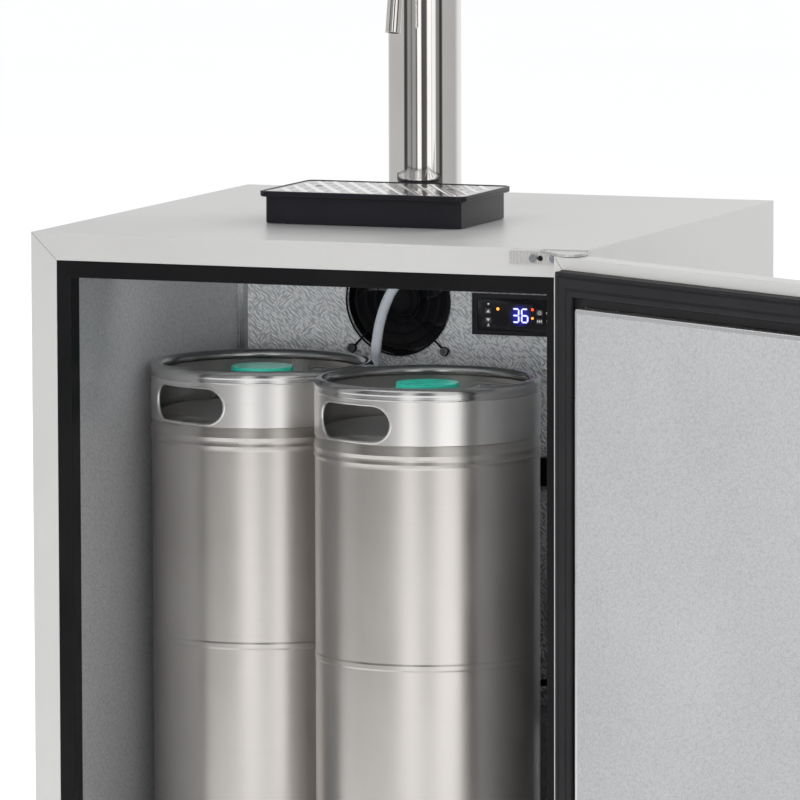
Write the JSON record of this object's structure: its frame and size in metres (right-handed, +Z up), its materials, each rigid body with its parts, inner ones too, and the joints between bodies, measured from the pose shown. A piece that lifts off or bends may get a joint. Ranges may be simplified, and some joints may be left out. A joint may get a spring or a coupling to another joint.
{
  "type": "kegerator",
  "caption": "Front-opening undercounter kegerator with an open door, kegs inside, an evaporator fan, a digital controller, and a draught tower with a drip tray.",
  "frame": {"origin": "on the floor under the centre of the cabinet's footprint, without its door", "axes": "+X towards the hinge side, +Y towards the cabinet's back, +Z up"},
  "size_m": [1.105, 0.9507, 1.262],
  "materials": {
    "cabinet_steel": "satin",
    "foam": "matte",
    "stucco_aluminium": "satin",
    "smooth_aluminium": "satin",
    "galvanised": "satin",
    "black_frame": "satin",
    "black_enamel": "satin",
    "rubber": "matte",
    "polished_steel": "polished",
    "grille_steel": "satin",
    "tray_plastic": "satin",
    "keg_steel": "satin",
    "chime_steel": "satin",
    "green_cap": "satin",
    "beer_tube": "gloss",
    "hinge_steel": "satin",
    "nylon": "satin",
    "key_plastic": "satin",
    "fan_metal": "satin",
    "brass": "satin"
  },
  "bodies": {
    "cabinet": {"outer_shell": "cabinet_steel", "foam_body": "foam", "inner_liner": "stucco_aluminium", "breaker_frame": "black_frame", "rear_panel": "galvanised", "bay_partition": "galvanised", "base_tray": "black_enamel", "levelling_feet": "rubber", "kick_grille": "black_frame", "evaporator_cover": "stucco_aluminium", "corner_trims": "smooth_aluminium", "evaporator_coil": "smooth_aluminium", "fan_frame": "black_frame", "fan_guard": "black_enamel", "fan_screws": "hinge_steel", "controller_case": "black_frame", "probe_cover": "black_frame", "tower_flange": "polished_steel", "tower_column": "polished_steel", "tower_cap": "polished_steel", "shank": "polished_steel", "faucet_nut": "polished_steel", "faucet_body": "polished_steel", "beer_line": "beer_tube", "coupler": "polished_steel", "upper_hinge": "hinge_steel", "lower_hinge": "hinge_steel", "cabinet_screws": "hinge_steel", "compressor": "black_enamel", "condenser": "black_enamel", "condenser_fan_frame": "black_frame", "bay_cover": "galvanised", "power_inlet": "black_frame", "gas_inlet": "brass"},
    "door": {"door_skin": "cabinet_steel", "door_foam": "foam", "door_panel": "stucco_aluminium", "door_gasket": "rubber", "door_handle": "hinge_steel", "hinge_bushes": "nylon"},
    "fan_rotor_body": {"fan_rotor": "black_frame"},
    "condenser_fan": {"condenser_fan_rotor": "fan_metal"},
    "lever": {"faucet_lever": "polished_steel", "tap_handle": "tray_plastic"},
    "plunger": {"faucet_plunger": "polished_steel"},
    "up_key": {"button_up": "key_plastic"},
    "down_key": {"button_down": "key_plastic"},
    "set_key": {"button_set": "key_plastic"},
    "power_key": {"button_power": "key_plastic"},
    "tray": {"drip_tray": "tray_plastic"},
    "grille": {"drip_grille": "grille_steel"},
    "coupler_arm": {"coupler_lever": "tray_plastic"},
    "left_keg": {"left_keg_vessel": "keg_steel", "left_keg_chimes": "chime_steel", "left_keg_valve": "keg_steel"},
    "right_keg": {"right_keg_vessel": "keg_steel", "right_keg_chimes": "chime_steel", "right_keg_valve": "keg_steel"},
    "left_cap": {"left_keg_cap": "green_cap"},
    "right_cap": {"right_keg_cap": "green_cap"}
  },
  "joints": [
    {"name": "door_swing", "type": "hinge", "parent": "cabinet", "child": "door", "pos_m": [0.2891, -0.3165, 0.47], "axis": [0, 0, 1], "range_deg": [-149.7, 15]},
    {"name": "fan_spin", "type": "hinge", "parent": "cabinet", "child": "fan_rotor_body", "pos_m": [-0.074, 0.175, 0.758], "axis": [0, 1, 0], "continuous": true},
    {"name": "condenser_fan_spin", "type": "hinge", "parent": "cabinet", "child": "condenser_fan", "pos_m": [0.15, 0.2, 0.135], "axis": [1, 0, 0], "continuous": true},
    {"name": "faucet_lever_tilt", "type": "hinge", "parent": "cabinet", "child": "lever", "pos_m": [-0.005, -0.026, 1.134], "axis": [1, 0, 0], "range_deg": [0, 25]},
    {"name": "faucet_plunger_slide", "type": "slide", "parent": "cabinet", "child": "plunger", "axis": [0, 1, 0], "range_m": [0, 0.0054]},
    {"name": "drip_tray_lift", "type": "slide", "parent": "cabinet", "child": "tray", "axis": [0, 0, 1], "range_m": [0, 0.06]},
    {"name": "drip_grille_lift", "type": "slide", "parent": "tray", "child": "grille", "axis": [0, 0, 1], "range_m": [0, 0.03]},
    {"name": "coupler_lever_turn", "type": "hinge", "parent": "cabinet", "child": "coupler_arm", "pos_m": [0.224, -0.054, 0.1713], "axis": [-1, 0, 0], "range_deg": [0, 70]},
    {"name": "left_keg_lift", "type": "slide", "parent": "cabinet", "child": "left_keg", "axis": [0, 0, 1], "range_m": [0, 0.05]},
    {"name": "right_keg_lift", "type": "slide", "parent": "cabinet", "child": "right_keg", "axis": [0, 0, 1], "range_m": [0, 0.05]},
    {"name": "left_cap_lift", "type": "slide", "parent": "left_keg", "child": "left_cap", "axis": [0, 0, 1], "range_m": [0, 0.03]},
    {"name": "right_cap_lift", "type": "slide", "parent": "right_keg", "child": "right_cap", "axis": [0, 0, 1], "range_m": [0, 0.03]},
    {"name": "up_key_press", "type": "slide", "parent": "cabinet", "child": "up_key", "axis": [0, 1, 0], "range_m": [0, 0.0008], "stiffness_N_per_m": 800, "springref_m": -0.0008},
    {"name": "down_key_press", "type": "slide", "parent": "cabinet", "child": "down_key", "axis": [0, 1, 0], "range_m": [0, 0.0008], "stiffness_N_per_m": 800, "springref_m": -0.0008},
    {"name": "set_key_press", "type": "slide", "parent": "cabinet", "child": "set_key", "axis": [0, 1, 0], "range_m": [0, 0.0008], "stiffness_N_per_m": 800, "springref_m": -0.0008},
    {"name": "power_key_press", "type": "slide", "parent": "cabinet", "child": "power_key", "axis": [0, 1, 0], "range_m": [0, 0.0008], "stiffness_N_per_m": 800, "springref_m": -0.0008}
  ],
  "couplings": [
    {"joint": "faucet_plunger_slide", "follows": "faucet_lever_tilt", "m_per_rad": 0.01187}
  ]
}
